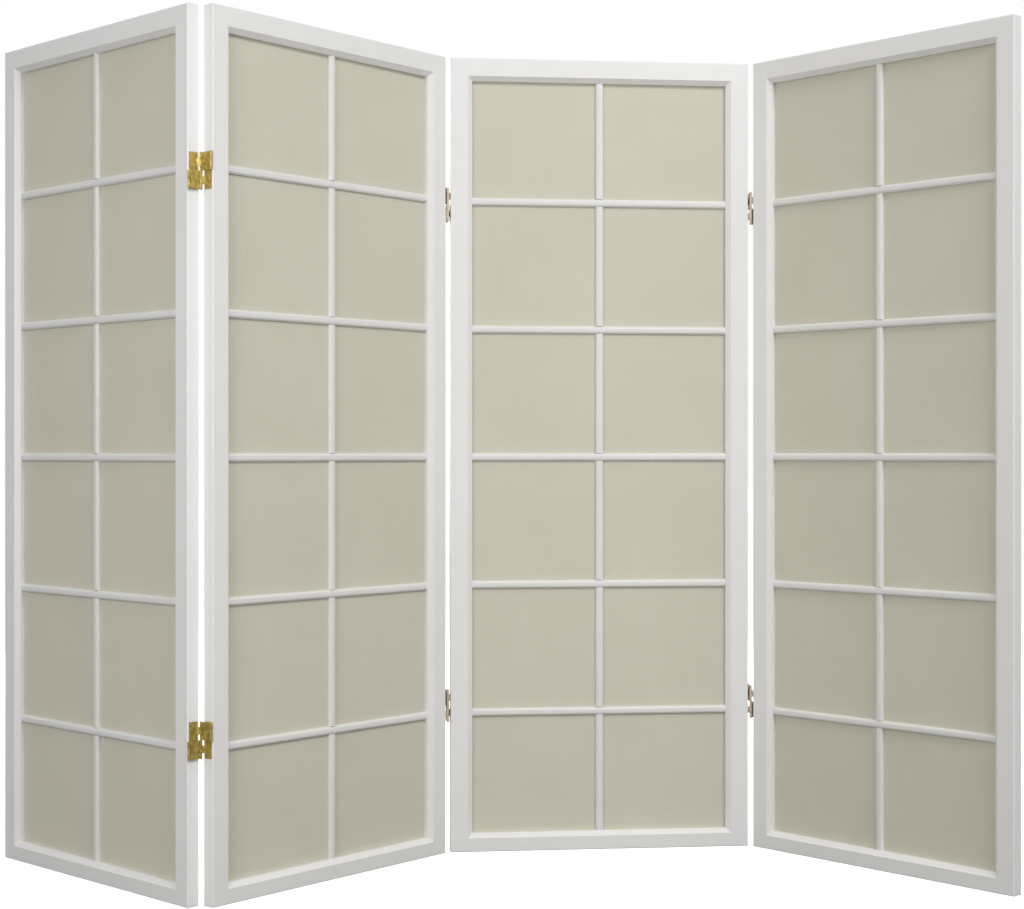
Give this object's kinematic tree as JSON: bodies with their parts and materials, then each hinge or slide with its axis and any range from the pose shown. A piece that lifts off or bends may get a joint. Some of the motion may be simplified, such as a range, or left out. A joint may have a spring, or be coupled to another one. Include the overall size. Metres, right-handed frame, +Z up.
{
  "type": "folding shoji screen",
  "caption": "Free-standing folding shoji room divider in white-painted wood, with a lattice in front of paper panels and brass two-way folding hinges",
  "frame": {"origin": "centre of the footprint, on the floor", "axes": "+X along the row of panels, to the right seen from the front; +Y from the front to the back; +Z up"},
  "size_m": [1.4742, 0.4354, 1.219],
  "materials": {
    "white_paint": "satin white paint on wood",
    "paper": "cream woven paper-backed cloth, matte",
    "brass": "satin brass plating"
  },
  "bodies": {
    "panel_1": {"panel_1_left_stile": "white_paint", "panel_1_right_stile": "white_paint", "panel_1_top_rail": "white_paint", "panel_1_bottom_rail": "white_paint", "panel_1_lattice_upright": "white_paint", "panel_1_lattice_crossbars": "white_paint", "panel_1_paper_sheet": "paper", "panel_1_back_beads": "white_paint", "panel_1_hinge_screws": "brass", "fold_1_left_leaves": "brass", "fold_1_stub_pins": "brass"},
    "panel_2": {"panel_2_left_stile": "white_paint", "panel_2_right_stile": "white_paint", "panel_2_top_rail": "white_paint", "panel_2_bottom_rail": "white_paint", "panel_2_lattice_upright": "white_paint", "panel_2_lattice_crossbars": "white_paint", "panel_2_paper_sheet": "paper", "panel_2_back_beads": "white_paint", "panel_2_hinge_screws": "brass", "fold_2_left_leaves": "brass", "fold_2_stub_pins": "brass", "fold_1_right_leaves": "brass"},
    "panel_3": {"panel_3_left_stile": "white_paint", "panel_3_right_stile": "white_paint", "panel_3_top_rail": "white_paint", "panel_3_bottom_rail": "white_paint", "panel_3_lattice_upright": "white_paint", "panel_3_lattice_crossbars": "white_paint", "panel_3_paper_sheet": "paper", "panel_3_back_beads": "white_paint", "panel_3_hinge_screws": "brass", "fold_3_left_leaves": "brass", "fold_3_stub_pins": "brass", "fold_2_right_leaves": "brass"},
    "panel_4": {"panel_4_left_stile": "white_paint", "panel_4_right_stile": "white_paint", "panel_4_top_rail": "white_paint", "panel_4_bottom_rail": "white_paint", "panel_4_lattice_upright": "white_paint", "panel_4_lattice_crossbars": "white_paint", "panel_4_paper_sheet": "paper", "panel_4_back_beads": "white_paint", "panel_4_hinge_screws": "brass", "fold_3_right_leaves": "brass"},
    "lower_link_1": {"fold_1_lower_links": "brass", "fold_1_lower_pins": "brass"},
    "upper_link_1": {"fold_1_upper_links": "brass", "fold_1_upper_pins": "brass"},
    "lower_link_2": {"fold_2_lower_links": "brass", "fold_2_lower_pins": "brass"},
    "upper_link_2": {"fold_2_upper_links": "brass", "fold_2_upper_pins": "brass"},
    "lower_link_3": {"fold_3_lower_links": "brass", "fold_3_lower_pins": "brass"},
    "upper_link_3": {"fold_3_upper_links": "brass", "fold_3_upper_pins": "brass"}
  },
  "joints": [
    {"name": "front_fold_1", "type": "hinge", "parent": "panel_1", "child": "lower_link_1", "pos_m": [-0.40303, -0.21584, 0.225], "axis": [0, 0, 1], "range_deg": [-180, 0]},
    {"name": "back_fold_1", "type": "hinge", "parent": "lower_link_1", "child": "panel_2", "pos_m": [-0.38904, -0.20155, 0.225], "axis": [0, 0, 1], "range_deg": [-94, 86]},
    {"name": "upper_link_turn_1", "type": "hinge", "parent": "panel_2", "child": "upper_link_1", "pos_m": [-0.37381, -0.21452, 0.225], "axis": [0, 0, 1], "range_deg": [0, 180]},
    {"name": "front_fold_2", "type": "hinge", "parent": "panel_2", "child": "lower_link_2", "pos_m": [-0.06725, 0.14569, 0.225], "axis": [0, 0, -1], "range_deg": [-43.5, 135.5]},
    {"name": "back_fold_2", "type": "hinge", "parent": "lower_link_2", "child": "panel_3", "pos_m": [-0.06937, 0.16558, 0.225], "axis": [0, 0, -1], "range_deg": [-180, 0]},
    {"name": "upper_link_turn_2", "type": "hinge", "parent": "panel_3", "child": "upper_link_2", "pos_m": [-0.06725, 0.14569, 0.225], "axis": [0, 0, -1], "range_deg": [-135.5, 43.5]},
    {"name": "front_fold_3", "type": "hinge", "parent": "panel_3", "child": "lower_link_3", "pos_m": [0.40308, 0.19595, 0.225], "axis": [0, 0, 1], "range_deg": [-127, 53]},
    {"name": "back_fold_3", "type": "hinge", "parent": "lower_link_3", "child": "panel_4", "pos_m": [0.41768, 0.20962, 0.225], "axis": [0, 0, 1], "range_deg": [0, 180]},
    {"name": "upper_link_turn_3", "type": "hinge", "parent": "panel_4", "child": "upper_link_3", "pos_m": [0.40308, 0.19595, 0.225], "axis": [0, 0, 1], "range_deg": [-53, 127]}
  ],
  "couplings": [
    {"joint": "upper_link_turn_1", "follows": "front_fold_1", "ratio": -1},
    {"joint": "upper_link_turn_2", "follows": "front_fold_2", "ratio": -1},
    {"joint": "upper_link_turn_3", "follows": "front_fold_3", "ratio": -1}
  ]
}
